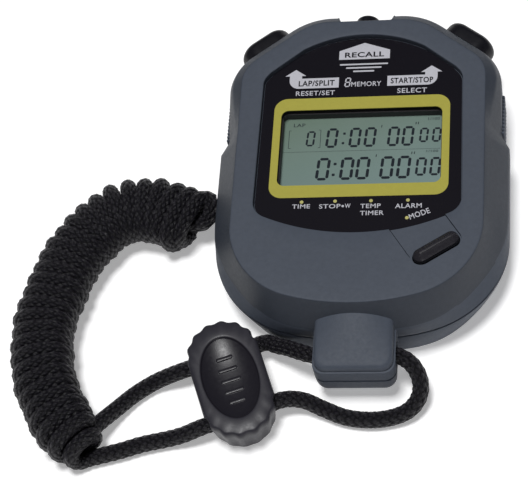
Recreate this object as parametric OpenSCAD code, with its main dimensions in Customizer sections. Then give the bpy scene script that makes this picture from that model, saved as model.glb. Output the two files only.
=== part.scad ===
// Handheld digital stopwatch with a braided neck cord.
// The watch lies on its back at z = 0 with the display facing +Z, the push buttons towards +Y
// and the cord lug towards -Y. The origin is the centre of its footprint.

/* [Case] */
// Full height from the back to the front face
case_h = 20.5; // [20.5:0.1:21.5]
// Height of the joint between the two shells
parting_z = 8.5; // [8.4:0.1:8.6]
// Thickness of the side walls
wall = 2; // [1.8:0.1:2.2]
// Depth of the sloping shoulder around the front face
bevel_h = 8; // [7:0.5:9]
// Width of the front face
face_w = 57; // [56:0.5:58]

/* [Display] */
// Width of the yellow frame
frame_w = 41; // [40:0.5:42]
// Height of the yellow frame
frame_h = 27.3; // [26.5:0.1:28]
// Width of the viewing window
window_w = 37.5; // [36.5:0.5:38]
// Height of the viewing window
window_h = 20.7; // [20:0.1:21.5]
// Depth of the liquid crystal below the front face
lcd_depth = 4.8; // [4.6:0.1:5]

/* [Buttons] */
// Travel of the three edge buttons
edge_travel = 0.9; // [0.6:0.1:0.9]
// Travel of the mode button
mode_travel = 0.8; // [0.5:0.1:0.8]
// Running clearance of the button stems in their bores
stem_gap = 0.08; // [0.05:0.01:0.1]

/* [Cord] */
// Diameter of the braided cord
cord_d = 3.8; // [3.6:0.1:4]
// Diameter of the cord hole through the lug and the slider
cord_hole_d = 5.2; // [5:0.1:5.4]

/* [Hidden] */

$fn = 64;
eps = 0.01;
grey = [0.33, 0.36, 0.39];
black = [0.06, 0.06, 0.07];
steel = [0.75, 0.76, 0.78];
brass = [0.80, 0.64, 0.30];

// Heights through the watch, from the back to the front
seal_t = 0.6;
rear_top = parting_z - seal_t / 2;
front_bottom = parting_z + seal_t / 2;
floor_t = 2;
bevel_z = case_h - bevel_h;
pocket_z = case_h - 1.6;
ceiling_z = case_h - 2.9;
film_t = 0.2;
lens_t = 1;
lcd_z = case_h - lcd_depth;
glass_t = 1.1;
reflector_t = 0.3;
board_z = 9.7;
board_t = 1.2;
board_top = board_z + board_t;
board_outline = [[17, -25], [23, -20], [23.3, 28.5], [20, 31.6], [13, 36.6]];

// Plan of the case: centres and radii of its arcs, right half
foot_c = [0, 33.5];
foot_r = 70;
corner_c = [9.6, -11.2];
corner_r = 24.2;
foot_a = -77.87;
grip_x = 32.1;
grip_y = [11, 14];
shoulder_c = [20.1, 26.3];
shoulder_r = 12;
ridge_c = [8.2, 30.4];
ridge_r = 16.2;
button_a = 52;
gap_x = 6.8;
gap_y = 45.2;

// Plan of the front face
face_foot_c = [0, 19.2];
face_foot_r = 52.5;
face_corner_r = 19.3;
face_corner_c = [face_w / 2 - face_corner_r, -12.7];
face_foot_a = -73.9;
face_inset = min(3.6, shoulder_c[0] + shoulder_r - face_w / 2);
cavity_inset = 1;
cavity_scale = [0.955, 0.965];
crest_z = 18.7;
crest_inset = 1.4;
crest_y = 24;

// Plan of the lens
lens_top_c = [0, 10.6];
lens_top_r = 28.4;
lens_corner_c = [19.3, 25.53];
lens_corner_r = 4;
lens_foot_c = [0, 34.6];
lens_foot_r = 50;
lens_heel_c = [19.1, -6.7];
lens_heel_r = 4.5;
window_y = 8.4;
lens_gap = 0.15;
print_gap = 0.2;

// Display: holder, glasses and contact strips
lcd_lip = [0.5, 0.4];
window_seat = 2.6;
holder_size = [46, 31.4];
holder_bore = [42.4, 28.4];
front_glass = [42, 28];
rear_glass = [42, 22.4];
reflector_size = [41, 21.8];
zebra_size = [39, 2.1];
zebra_y = 12.7;
glass_corner_r = 0.2;

// Edge buttons: distance of their seat from the origin, offset along it and height
side_seat = 45.1;
side_offset = 5.65;
edge_z = 13.4;
side_cap = [13.2, 8.4];
side_proud = 4.2;
side_stem_r = 2.1;
recall_cap = [5.6, 8.4];
recall_proud = 1.9;
recall_stem_r = 1.8;
cap_gap = 0.3;
cap_sunk = 0.5;
pocket_depth = 1.8;
seat_block = 4;
clip_t = 0.7;
clip_rim = 1.2;
groove_depth = 0.6;
stem_len = 8.2;
leaf_gap = 0.3;
leaf_t = 0.25;

// Mode button
mode_pos = [18.2, -19.8];
mode_a = 33;
mode_size = [11.3, 3.4];
mode_proud = 1.5;
mode_flange_t = 0.8;
mode_recess = [12.4, 4.7];
mode_recess_t = 0.4;
mode_recess_reach = 10.6;
dome_r = 3;
dome_wall = 0.5;
dome_rise = 1.8;
dome_top = board_top + dome_rise + mode_travel;

// Lug and cord
lug_x = 9.2;
lug_y = -46.6;
lug_z = [3.8, 17.8];
lug_crown_r = 20;
lug_slope = 17;
lug_gap = 0.05;
lug_bite = 0.3;
bore_y = -40;
bore_z = parting_z;
cord_r = cord_d / 2;
cord_hole_r = cord_hole_d / 2;
cord_sides = 8;

// Slider on the cord
slider_c = [-28, -45.2];
slider_a = 20;
slider_len = 30;
slider_w = 16.5;
slider_t = 9;
slider_hole_z = 4.5;
slider_pitch = 15.2;

// Routes of the two cord legs, from the middle of the lug to the hank
left_route = [[0, -40, 8.5], [-5, -40, 8.5], [-9.4, -40, 8.4], [-12.8, -38.7, 7.7], [-15.8, -37, 6.4],
    [-18.4, -35.8, 5.2], [-21.2, -34.6, 4.5], [-25.9, -36.3, 4.5], [-30.6, -38.1, 4.5], [-35.3, -39.8, 4.5],
    [-40, -41.5, 4.4], [-43.6, -42.3, 3.2], [-47, -43.4, 2.1], [-51, -46.2, 2], [-54.6, -50, 2.6],
    [-57.6, -54, 4.2], [-60, -57.4, 5.4]];
right_route = [[0, -40, 8.5], [5, -40, 8.5], [8.6, -40.1, 8.4], [12, -41.6, 7.4], [14, -44.6, 5.9],
    [14, -48, 4.3], [11.8, -50.8, 2.9], [8, -52.3, 2.1], [3, -52.9, 2], [-2.5, -52.2, 2],
    [-7.5, -50.3, 2.4], [-11.8, -48.8, 3.6], [-16, -48.9, 4.5], [-20.7, -50.6, 4.5], [-25.4, -52.3, 4.5],
    [-30.1, -54, 4.5], [-34.8, -55.8, 4.4], [-38.6, -56.8, 3.1], [-42.5, -57.4, 2.1], [-48, -58.6, 2],
    [-53, -60.2, 2.2], [-58, -61.6, 3.6], [-62, -61.2, 5.4]];

// Centre line of the wound hank, its width and its height
hank_route = [[-60, -62], [-65.4, -56], [-69.5, -48.5], [-72.4, -40], [-73, -31], [-71.4, -22], [-68.4, -13],
    [-63.6, -5], [-57, 0], [-49, 0.6], [-42.5, -2]];
hank_w = 14.6;
hank_h = 12.6;

// Screws
case_screw_at = [[27, 24.5], [-27, 24.5], [13, -29.5], [-13, -29.5]];
board_screw_at = [[20.5, 26.2], [-20.5, 26.2], [20.5, -10.6], [-20.5, -10.6]];
battery_c = [0, -11.5];
battery_r = 10;
battery_screw_c = [0, -24];
cover_w = 25;
cover_h = 26.4;
cover_y = -13.2;
buzzer_c = [0, 24];
chip_r = 6;
chip_h = 1.6;

// ---------- Plans ----------

// Points along an arc from angle a0 to a1
function arc(c, r, a0, a1, n) =
    [for (i = [0:n]) let (a = a0 + (a1 - a0) * i / n) [c[0] + r * cos(a), c[1] + r * sin(a)]];

// A right half, given from the bottom upwards, closed with its mirror image
function both_halves(p) = concat(p, [for (i = [len(p) - 1:-1:0]) [-p[i][0], p[i][1]]]);

// Angle at which the ridge arc meets the gap between the ridges
function gap_angle(i) = acos(max(0, gap_x + i - ridge_c[0]) / (ridge_r - i));

// Plan of the case, moved inwards by i
function case_plan(i) = both_halves(concat(
    arc(foot_c, foot_r - i, -90, foot_a, 5),
    arc(corner_c, corner_r - i, foot_a, 0, 16),
    [[corner_c[0] + corner_r - i, grip_y[0]], [grip_x - i, grip_y[1]]],
    arc(shoulder_c, shoulder_r - i, 0, button_a, 8),
    arc(ridge_c, ridge_r - i, button_a, gap_angle(i), 8),
    [[gap_x + i, ridge_c[1] + (ridge_r - i) * sin(gap_angle(i))], [gap_x + i, gap_y - i]]));

// Angle at which the shoulder, moved inwards by i, meets the straight side of the front face
function face_meet_a(i) = acos((face_w / 2 - shoulder_c[0]) / (shoulder_r - i));

// Plan of the front face, its upper part moved inwards by i from the case
function face_plan(i) = both_halves(concat(
    arc(face_foot_c, face_foot_r, -90, face_foot_a, 5),
    arc(face_corner_c, face_corner_r, face_foot_a, 0, 16),
    arc(shoulder_c, shoulder_r - i, face_meet_a(i), button_a, 4),
    arc(ridge_c, ridge_r - i, button_a, 90, 8)));

// Points of the case's upper end, moved inwards to its rounded crest
function crest_plan() = [for (p = case_plan(crest_inset)) if (p[1] > crest_y) p];

// Plan of the lens, moved inwards by i
function between(a, b) = atan2(b[1] - a[1], b[0] - a[0]);
function lens_plan(i) = both_halves(concat(
    arc(lens_foot_c, lens_foot_r - i, -90, between(lens_foot_c, lens_heel_c), 8),
    arc(lens_heel_c, lens_heel_r - i, between(lens_foot_c, lens_heel_c), 0, 6),
    arc(lens_corner_c, lens_corner_r - i, 0, between(lens_top_c, lens_corner_c), 6),
    arc(lens_top_c, lens_top_r - i, between(lens_top_c, lens_corner_c), 90, 12)));

module slab(plan, z0, z1) {
    translate([0, 0, z0])
        linear_extrude(z1 - z0)
            polygon(plan);
}

// Rectangle with round corners, centred
module round_rect(w, h, r) {
    square([w - 2 * r, h], center = true);
    square([w, h - 2 * r], center = true);
    for (x = [-1, 1], y = [-1, 1])
        translate([x * (w / 2 - r), y * (h / 2 - r)])
            circle(r);
}

module round_box(w, h, r, z0, z1) {
    translate([0, 0, z0])
        linear_extrude(z1 - z0)
            round_rect(w, h, r);
}

module at_each(places) {
    for (p = places)
        translate([p[0], p[1], 0])
            children();
}

module tube_z(r_out, r_in, z0, z1) {
    translate([0, 0, z0])
        difference() {
            cylinder(r = r_out, h = z1 - z0);
            translate([0, 0, -1])
                cylinder(r = r_in, h = z1 - z0 + 2);
        }
}

// Places children at an edge button's seat, with local +Z pointing outwards and local +Y upwards
module at_side_seat(side) {
    mirror([side < 0 ? 1 : 0, 0, 0])
        rotate([0, 0, button_a])
            translate([side_seat, side_offset, edge_z])
                rotate([0, 90, 0])
                    rotate([0, 0, 90])
                        children();
}

module at_recall_seat() {
    translate([0, gap_y, edge_z])
        rotate([-90, 0, 0])
            rotate([0, 0, 180])
                children();
}

module at_mode() {
    translate([mode_pos[0], mode_pos[1], 0])
        rotate([0, 0, mode_a])
            children();
}

// Oblong with round ends
module oblong(size) {
    round_rect(size[0], size[1], min(size[0], size[1]) / 2 - eps);
}

// ---------- Shells ----------

// Outside of the watch between two heights, with the front shoulder and the rear chamfer
module outside(z0, z1) {
    intersection() {
        slab(case_plan(0), z0, z1);
        hull() {
            slab(face_plan(face_inset), case_h - 0.1, case_h);
            slab(crest_plan(), crest_z - 0.1, crest_z);
            slab(case_plan(-0.6), bevel_z - 0.9, bevel_z - 0.8);
            slab(case_plan(-0.6), 5.2, 5.3);
            slab(case_plan(2), 0, 0.1);
        }
    }
}

// Vertical ribs of the two side grips
module grip_ribs(z0, z1) {
    for (side = [-1, 1], i = [0:10])
        translate([side * (grip_x + 0.2), 15.2 + i, z0])
            cylinder(r = 0.42, h = z1 - z0, $fn = 16);
}

// Cord lug between two heights: a box with round corners and a crowned, sloping top
module lug(z0, z1) {
    intersection() {
        translate([0, (lug_y - 30) / 2, z0])
            linear_extrude(z1 - z0)
                round_rect(2 * lug_x, -30 - lug_y, 2.6);
        translate([0, -34, lug_z[1] - lug_crown_r / cos(lug_slope)])
            rotate([90 + lug_slope, 0, 0])
                translate([0, 0, -20])
                    cylinder(r = lug_crown_r, h = 50, $fn = 96);
    }
}

module cord_bore() {
    translate([-20, bore_y, bore_z])
        rotate([0, 90, 0])
            cylinder(r = cord_hole_r, h = 40);
}

module front_shell() {
    color(grey)
        difference() {
            union() {
                difference() {
                    outside(front_bottom, case_h);
                    slab(case_plan(wall), front_bottom - 1, bevel_z - 1);
                    slab([for (p = face_plan(cavity_inset)) [p[0] * cavity_scale[0], p[1] * cavity_scale[1]]], bevel_z - 1.1, ceiling_z);
                }
                intersection() {
                    union() {
                        for (side = [-1, 1])
                            at_side_seat(side)
                                translate([0, 0, -seat_block])
                                    linear_extrude(seat_block - 1)
                                        square([side_cap[0] + 3, side_cap[1] + 3], center = true);
                        at_recall_seat()
                            translate([0, 0, -seat_block])
                                linear_extrude(seat_block - 1)
                                    square([recall_cap[0] + 3, recall_cap[1] + 3], center = true);
                    }
                    slab(case_plan(0.5), front_bottom, ceiling_z + 0.5);
                }
                at_each(case_screw_at)
                    translate([0, 0, front_bottom])
                        cylinder(r = 2.6, h = ceiling_z + 0.3 - front_bottom);
                at_each(board_screw_at)
                    translate([0, 0, board_top])
                        cylinder(r = 2, h = ceiling_z + 0.3 - board_top);
                grip_ribs(front_bottom, bevel_z + 0.5);
                difference() {
                    lug(parting_z + lug_gap, lug_z[1] + 2);
                    slab(case_plan(lug_bite), 0, front_bottom + 1);
                    slab(case_plan(wall - 0.5), 0, ceiling_z);
                }
            }
            slab(lens_plan(0), pocket_z, case_h + 1);
            translate([0, window_y, 0])
                round_box(window_w + window_seat, window_h + window_seat, 1.5, ceiling_z - 1, pocket_z + 1);
            for (side = [-1, 1])
                at_side_seat(side)
                    button_hole(side_cap, side_stem_r);
            at_recall_seat()
                button_hole(recall_cap, recall_stem_r);
            at_mode() {
                translate([0, 0, ceiling_z - 1])
                    linear_extrude(5)
                        oblong([mode_size[0] + 0.5, mode_size[1] + 0.5]);
                translate([0, 0, case_h - mode_recess_t])
                    linear_extrude(1) {
                        oblong(mode_recess);
                        translate([-mode_recess[0] / 2, 0])
                            square([mode_recess[0], mode_recess_reach]);
                    }
            }
            at_each(case_screw_at)
                translate([0, 0, front_bottom - 1])
                    cylinder(r = 1.05, h = 6);
            at_each(board_screw_at)
                translate([0, 0, board_top - 1])
                    cylinder(r = 0.85, h = 5);
            cord_bore();
        }
}

// Pocket for a button's cap and the bore for its stem
module button_hole(cap, stem_r) {
    translate([0, 0, -pocket_depth])
        linear_extrude(pocket_depth + 5)
            oblong([cap[0] + 2 * cap_gap, cap[1] + 2 * cap_gap]);
    translate([0, 0, -seat_block - 2])
        cylinder(r = stem_r + stem_gap, h = seat_block + 3);
}

module rear_shell() {
    color(grey)
        difference() {
            union() {
                difference() {
                    outside(0, rear_top);
                    slab(case_plan(wall + 1.4), floor_t, rear_top + 1);
                    slab(case_plan(wall), 5, rear_top + 1);
                }
                at_each(case_screw_at)
                    translate([0, 0, floor_t / 2])
                        cylinder(r = 3, h = rear_top - floor_t / 2);
                difference() {
                    translate([battery_c[0], battery_c[1], floor_t / 2])
                        cylinder(r = battery_r + 1.8, h = 5);
                    translate([battery_c[0] + battery_r, battery_c[1], 6])
                        cube([8, 7, 6], center = true);
                }
                translate([battery_screw_c[0], battery_screw_c[1], floor_t / 2])
                    cylinder(r = 3, h = 5);
                translate([buzzer_c[0], buzzer_c[1], 0])
                    tube_z(14.9, 13.8, floor_t / 2, 3.4);
                grip_ribs(5.4, rear_top);
                difference() {
                    lug(lug_z[0], parting_z - lug_gap);
                    slab(case_plan(wall - 0.5), 0, rear_top - 1);
                    slab(case_plan(lug_bite), rear_top - 1.5, rear_top + 1);
                }
                translate([0, cover_y, floor_t / 2])
                    linear_extrude(floor_t / 2 + 1.2)
                        round_rect(cover_w + 3, cover_h + 3, 4);
            }
            at_each(case_screw_at) {
                translate([0, 0, -1])
                    cylinder(r = 2.2, h = 3.4);
                translate([0, 0, 1])
                    cylinder(r = 1.15, h = 12);
            }
            translate([0, cover_y, -1])
                linear_extrude(2.8)
                    round_rect(cover_w + 0.4, cover_h + 0.4, 3.2);
            translate([battery_c[0], battery_c[1], 1])
                cylinder(r = battery_r + 0.5, h = 10);
            translate([battery_screw_c[0], battery_screw_c[1], 1])
                cylinder(r = 0.85, h = 5);
            for (i = [-2:2])
                translate([buzzer_c[0] + 3 * i, buzzer_c[1], 0])
                    cube([1, 9, 10], center = true);
            cord_bore();
        }
}

module case_seal() {
    color(black)
        difference() {
            slab(case_plan(0.35), rear_top, front_bottom);
            slab(case_plan(wall - 0.2), rear_top - 1, front_bottom + 1);
        }
}

// Pan-head self-tapping screw, head down at z0, with a cross recess
module screw(head_r, head_t, shank_r, len) {
    difference() {
        union() {
            cylinder(r = head_r, h = head_t, $fn = 32);
            cylinder(r = shank_r, h = head_t + len, $fn = 24);
        }
        for (a = [0, 90])
            rotate([0, 0, a])
                cube([1.3 * head_r, 0.3 * head_r, head_t], center = true);
    }
}

module case_screws() {
    color(steel)
        at_each(case_screw_at)
            translate([0, 0, 0.9])
                screw(1.9, 1.5, 1, 10);
}

// ---------- Lens and printed films ----------

module lens() {
    color([0.75, 0.8, 0.82, 0.3])
        slab(lens_plan(lens_gap), pocket_z + film_t, pocket_z + film_t + lens_t);
}

module face_print() {
    color(black)
        difference() {
            slab(lens_plan(print_gap), pocket_z, pocket_z + film_t);
            translate([0, window_y, 0])
                round_box(frame_w, frame_h, 3.1, pocket_z - 1, pocket_z + 1);
        }
}

module window_frame() {
    color([0.72, 0.70, 0.30])
        translate([0, window_y, 0])
            difference() {
                round_box(frame_w, frame_h, 3.1, pocket_z, pocket_z + film_t);
                round_box(window_w, window_h, 1.7, pocket_z - 1, pocket_z + 1);
            }
}

// ---------- Display ----------

module lcd_holder() {
    color(black)
        translate([0, window_y, 0])
            difference() {
                round_box(holder_size[0], holder_size[1], 1.5, board_top, ceiling_z);
                round_box(holder_bore[0], holder_bore[1], 0.5, board_top - 1, lcd_z);
                round_box(window_w - lcd_lip[0], window_h - lcd_lip[1], 0.8, board_top, ceiling_z + 1);
            }
}

module lcd_front_glass() {
    color([0.58, 0.66, 0.60])
        translate([0, window_y, 0])
            round_box(front_glass[0], front_glass[1], glass_corner_r, lcd_z - glass_t, lcd_z);
}

module lcd_rear_glass() {
    color([0.60, 0.68, 0.62])
        translate([0, window_y, 0])
            round_box(rear_glass[0], rear_glass[1], glass_corner_r, lcd_z - 2 * glass_t, lcd_z - glass_t);
}

module lcd_reflector() {
    color([0.70, 0.74, 0.70])
        translate([0, window_y, 0])
            round_box(reflector_size[0], reflector_size[1], glass_corner_r,
                lcd_z - 2 * glass_t - reflector_t, lcd_z - 2 * glass_t);
}

module zebra_strips() {
    color([0.25, 0.25, 0.27])
        for (y = [-1, 1])
            translate([0, window_y + zebra_y * y, 0])
                round_box(zebra_size[0], zebra_size[1], 0.3, board_top, lcd_z - glass_t);
}

// ---------- Circuit board ----------

module circuit_board() {
    color([0.10, 0.35, 0.20])
        difference() {
            translate([0, 0, board_z])
                linear_extrude(board_t)
                    polygon(both_halves(board_outline));
            at_each(board_screw_at)
                translate([0, 0, board_z - 1])
                    cylinder(r = 1, h = 4);
        }
}

module board_screws() {
    color(steel)
        at_each(board_screw_at)
            translate([0, 0, board_z - 1])
                screw(1.6, 1, 0.8, 4.6);
}

module chip_blob() {
    color(black)
        translate([0, 7, board_z - chip_h])
            rotate_extrude()
                polygon(concat([[0, chip_h], [chip_r, chip_h]],
                    [for (a = [0:15:90]) [chip_r - 1.6 + 1.6 * cos(a), chip_h - 0.2 - (chip_h - 0.2) * sin(a)]],
                    [[0, 0]]));
}

// Small resistors and capacitors under the board
module board_parts() {
    color([0.45, 0.33, 0.22])
        for (i = [0:4], side = [-1, 1])
            translate([side * 12.5, 1 + 4.2 * i, board_z - 0.6])
                cube([2, 1.25, 1.2], center = true);
}

module quartz_crystal() {
    color(steel)
        translate([-19.5, 10, board_z - 1.55])
            rotate([-90, 0, 0])
                cylinder(r = 1.5, h = 8);
}

// Bent leaf contact that stands on the board in front of a stem; local +Z points outwards
module leaf_contact(w) {
    leaf_z = -stem_len - edge_travel - leaf_gap - leaf_t;
    drop = edge_z - board_top;
    translate([-w / 2, -drop, leaf_z])
        cube([w, drop + 1.5, leaf_t]);
    translate([-w / 2, -drop, leaf_z - 2])
        cube([w, leaf_t, 2]);
}

module side_contacts() {
    color(brass) {
        for (side = [-1, 1])
            at_side_seat(side)
                leaf_contact(3.6);
        at_recall_seat()
            leaf_contact(3);
    }
}

module mode_dome() {
    color([0.55, 0.55, 0.56])
        translate([mode_pos[0], mode_pos[1], board_top])
            rotate_extrude()
                polygon([[dome_r - 1.1, 0], [dome_r, 0], [dome_r, dome_wall], [1.6, dome_top - board_top],
                    [0, dome_top - board_top], [0, dome_top - board_top - dome_wall],
                    [1, dome_top - board_top - dome_wall]]);
}

// ---------- Buttons ----------

// Edge button with a crowned cap and a stem with a clip groove; local +Z points outwards
module edge_button(cap, proud, crown_r, stem_r) {
    intersection() {
        translate([0, 0, -cap_sunk])
            linear_extrude(proud + cap_sunk)
                oblong(cap);
        translate([0, 0, proud - crown_r])
            sphere(r = crown_r, $fn = 96);
    }
    difference() {
        translate([0, 0, -stem_len])
            cylinder(r = stem_r, h = stem_len);
        translate([0, 0, -seat_block - 0.05 - clip_t])
            difference() {
                cylinder(r = stem_r + 1, h = clip_t);
                cylinder(r = stem_r - groove_depth, h = clip_t);
            }
    }
}

// Open retaining clip in the stem's groove
module edge_clip(stem_r) {
    translate([0, 0, -seat_block - 0.05 - clip_t])
        linear_extrude(clip_t)
            difference() {
                circle(stem_r + clip_rim);
                circle(stem_r - groove_depth);
                translate([0, -stem_r - clip_rim])
                    square([1.1 * stem_r, 2 * (stem_r + clip_rim)], center = true);
            }
}

module start_stop_button() {
    color(black)
        at_side_seat(1)
            edge_button(side_cap, side_proud, 11, side_stem_r);
}

module start_stop_clip() {
    color(steel)
        at_side_seat(1)
            edge_clip(side_stem_r);
}

module lap_reset_button() {
    color(black)
        at_side_seat(-1)
            edge_button(side_cap, side_proud, 11, side_stem_r);
}

module lap_reset_clip() {
    color(steel)
        at_side_seat(-1)
            edge_clip(side_stem_r);
}

module recall_button() {
    color(black)
        at_recall_seat()
            edge_button(recall_cap, recall_proud, 14, recall_stem_r);
}

module recall_clip() {
    color(steel)
        at_recall_seat()
            edge_clip(recall_stem_r);
}

module mode_button() {
    color(black)
        at_mode() {
            intersection() {
                translate([0, 0, ceiling_z - 0.1])
                    linear_extrude(case_h + mode_proud - ceiling_z + 0.1)
                        oblong(mode_size);
                translate([0, 0, case_h + mode_proud - 22])
                    rotate([90, 0, 0])
                        cylinder(r = 22, h = 10, center = true, $fn = 128);
            }
            translate([0, 0, ceiling_z - 0.1 - mode_flange_t])
                linear_extrude(mode_flange_t)
                    oblong([mode_size[0] + 1.6, mode_size[1] + 1.6]);
            translate([0, 0, dome_top])
                cylinder(r = 1.2, h = ceiling_z - dome_top - 0.5);
        }
}

// ---------- Buzzer and battery ----------

module piezo_disc() {
    color(brass)
        translate([buzzer_c[0], buzzer_c[1], floor_t])
            cylinder(r = 13.5, h = 0.3);
}

module piezo_ceramic() {
    color([0.85, 0.83, 0.78])
        translate([buzzer_c[0], buzzer_c[1], floor_t + 0.3])
            cylinder(r = 9, h = 0.25);
}

// A closed ring of points around a route, swept into one solid
function unit(v) = v / norm(v);
function heading(p, i) = unit(p[min(i + 1, len(p) - 1)] - p[max(i - 1, 0)]);
function ring(p, i, r, n) =
    let (t = heading(p, i), side = unit(cross(t, [0.02, 0.03, 1])), up = cross(side, t))
    [for (k = [0:n - 1]) p[i] + r * (cos(360 * k / n) * side + sin(360 * k / n) * up)];

module sweep(p, r, n) {
    last = len(p) - 1;
    polyhedron(
        points = [for (i = [0:last]) each ring(p, i, r, n)],
        faces = concat(
            [[for (k = [0:n - 1]) k]],
            [for (i = [0:last - 1], k = [0:n - 1])
                [i * n + k, (i + 1) * n + k, (i + 1) * n + (k + 1) % n]],
            [for (i = [0:last - 1], k = [0:n - 1])
                [i * n + k, (i + 1) * n + (k + 1) % n, i * n + (k + 1) % n]],
            [[for (k = [n - 1:-1:0]) last * n + k]]),
        convexity = 8);
}

// Two coil springs from the board down to the buzzer
module buzzer_springs() {
    turns = 4;
    steps = 8;
    wire_r = 0.15;
    low = [floor_t + 0.5, floor_t + 0.75];
    high = board_z - 0.25;
    color(steel)
        for (s = [0, 1])
            translate([buzzer_c[0] + [11.2, 4][s], buzzer_c[1], 0])
                sweep([for (i = [0:turns * steps])
                    [1.1 * cos(360 * i / steps), 1.1 * sin(360 * i / steps),
                    low[s] + (high - low[s]) * i / (turns * steps)]], wire_r, 5);
}

module battery() {
    color(steel)
        translate([battery_c[0], battery_c[1], 2.5]) {
            cylinder(r = battery_r, h = 2.4);
            translate([0, 0, 2.3])
                cylinder(r = battery_r - 0.8, h = 0.9);
        }
}

// Strip from the board down the battery's side to its positive shell
module battery_clip() {
    color(brass)
        translate([battery_c[0] + battery_r + 0.05, battery_c[1], 0]) {
            translate([0, -2, 3.2])
                cube([0.3, 4, board_z - 3.2]);
            translate([0, -2, board_z - 0.3])
                cube([3, 4, 0.3]);
        }
}

// Bent strip under the board that presses on the battery's negative face
module battery_spring() {
    low = 2.5 + 3.2;
    color(brass)
        translate([battery_c[0], battery_c[1] + 2, 0])
            rotate([90, 0, 0])
                linear_extrude(4)
                    polygon([[-6, board_z], [6, board_z], [6, board_z - 0.3], [-2, board_z - 0.3], [3, low + 0.3],
                        [5, low + 0.3], [5, low], [2.8, low], [-2.4, board_z - 0.3], [-6, board_z - 0.3]]);
}

module battery_cover() {
    color(grey)
        difference() {
            translate([0, cover_y, 0.3])
                linear_extrude(1.4)
                    round_rect(cover_w, cover_h, 3);
            translate([battery_screw_c[0], battery_screw_c[1], -1]) {
                cylinder(r = 1.8, h = 2);
                cylinder(r = 1, h = 4);
            }
            for (i = [0:3])
                translate([0, -3 - 1.6 * i, 0.3])
                    cube([9, 0.6, 0.5], center = true);
        }
}

module battery_pad() {
    color([0.2, 0.2, 0.21])
        translate([battery_c[0], battery_c[1], 1.7])
            cylinder(r = 8, h = 0.8);
}

module battery_screw() {
    color(steel)
        translate([battery_screw_c[0], battery_screw_c[1], 0.4])
            screw(1.6, 0.6, 0.8, 4.6);
}

// ---------- Neck cord ----------

module cord_slider() {
    color(black)
        translate([slider_c[0], slider_c[1], 0])
            rotate([0, 0, slider_a])
                difference() {
                    intersection() {
                        linear_extrude(slider_t)
                            oblong([slider_w, slider_len]);
                        translate([0, 0, slider_t - 40])
                            rotate([0, 90, 0])
                                cylinder(r = 40, h = 40, center = true, $fn = 128);
                    }
                    translate([0, 0, slider_t + 30 - 0.8])
                        sphere(r = 30, $fn = 96);
                    for (y = [-1, 1])
                        translate([0, y * slider_pitch / 2, slider_hole_z])
                            rotate([0, 90, 0])
                                cylinder(r = cord_hole_r, h = 40, center = true);
                }
}

module lanyard_left() {
    color(black)
        sweep(left_route, cord_r, cord_sides);
}

module lanyard_right() {
    color(black)
        sweep(right_route, cord_r, cord_sides);
}

// Outer shape of the wound cord: the centre line with its width on both sides
function side_of(p, i, d) =
    let (t = unit(p[min(i + 1, len(p) - 1)] - p[max(i - 1, 0)])) p[i] + d * [-t[1], t[0]];

module lanyard_hank() {
    last = len(hank_route) - 1;
    half = hank_w / 2;
    lead = heading(hank_route, 0);
    tail = heading(hank_route, last);
    lead_a = atan2(lead[1], lead[0]);
    tail_a = atan2(tail[1], tail[0]);
    color(black)
        linear_extrude(hank_h)
            polygon(concat(
                [for (i = [1:last - 1]) side_of(hank_route, i, half)],
                arc(hank_route[last], half, tail_a + 90, tail_a - 90, 10),
                [for (i = [last - 1:-1:1]) side_of(hank_route, i, -half)],
                arc(hank_route[0], half, lead_a + 270, lead_a + 90, 10)));
}

front_shell();
rear_shell();
case_seal();
case_screws();
lens();
face_print();
window_frame();
lcd_holder();
lcd_front_glass();
lcd_rear_glass();
lcd_reflector();
zebra_strips();
circuit_board();
board_screws();
chip_blob();
board_parts();
quartz_crystal();
side_contacts();
mode_dome();
start_stop_button();
start_stop_clip();
lap_reset_button();
lap_reset_clip();
recall_button();
recall_clip();
mode_button();
piezo_disc();
piezo_ceramic();
buzzer_springs();
battery();
battery_clip();
battery_spring();
battery_cover();
battery_pad();
battery_screw();
cord_slider();
lanyard_left();
lanyard_right();
lanyard_hank();
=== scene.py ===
"""Handheld digital stopwatch with a braided neck cord: its looks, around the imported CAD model.

Shapes are worked out in millimetres and placed in metres. The watch lies on its back, with the
display facing +Z, the push buttons towards +Y and the cord lug towards -Y.
"""

import math

import bmesh
import bpy
import numpy as np
from mathutils import Matrix, Vector
from numpy.linalg import norm


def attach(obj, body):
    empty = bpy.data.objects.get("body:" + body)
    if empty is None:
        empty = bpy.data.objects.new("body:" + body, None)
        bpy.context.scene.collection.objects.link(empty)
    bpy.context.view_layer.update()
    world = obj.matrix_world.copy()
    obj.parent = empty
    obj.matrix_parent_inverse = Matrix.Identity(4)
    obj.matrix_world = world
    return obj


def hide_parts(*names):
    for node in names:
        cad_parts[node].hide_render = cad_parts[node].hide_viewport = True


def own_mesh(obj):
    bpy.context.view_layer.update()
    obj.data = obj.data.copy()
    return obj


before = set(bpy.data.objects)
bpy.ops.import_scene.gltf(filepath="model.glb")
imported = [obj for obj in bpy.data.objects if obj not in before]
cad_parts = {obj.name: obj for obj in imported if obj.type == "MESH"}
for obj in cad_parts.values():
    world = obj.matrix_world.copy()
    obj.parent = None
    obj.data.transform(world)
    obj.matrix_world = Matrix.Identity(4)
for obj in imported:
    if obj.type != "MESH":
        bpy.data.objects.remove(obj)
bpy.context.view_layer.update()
scene = bpy.context.scene
MM = 0.001

# ---------- Sizes, in millimetres ----------

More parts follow.
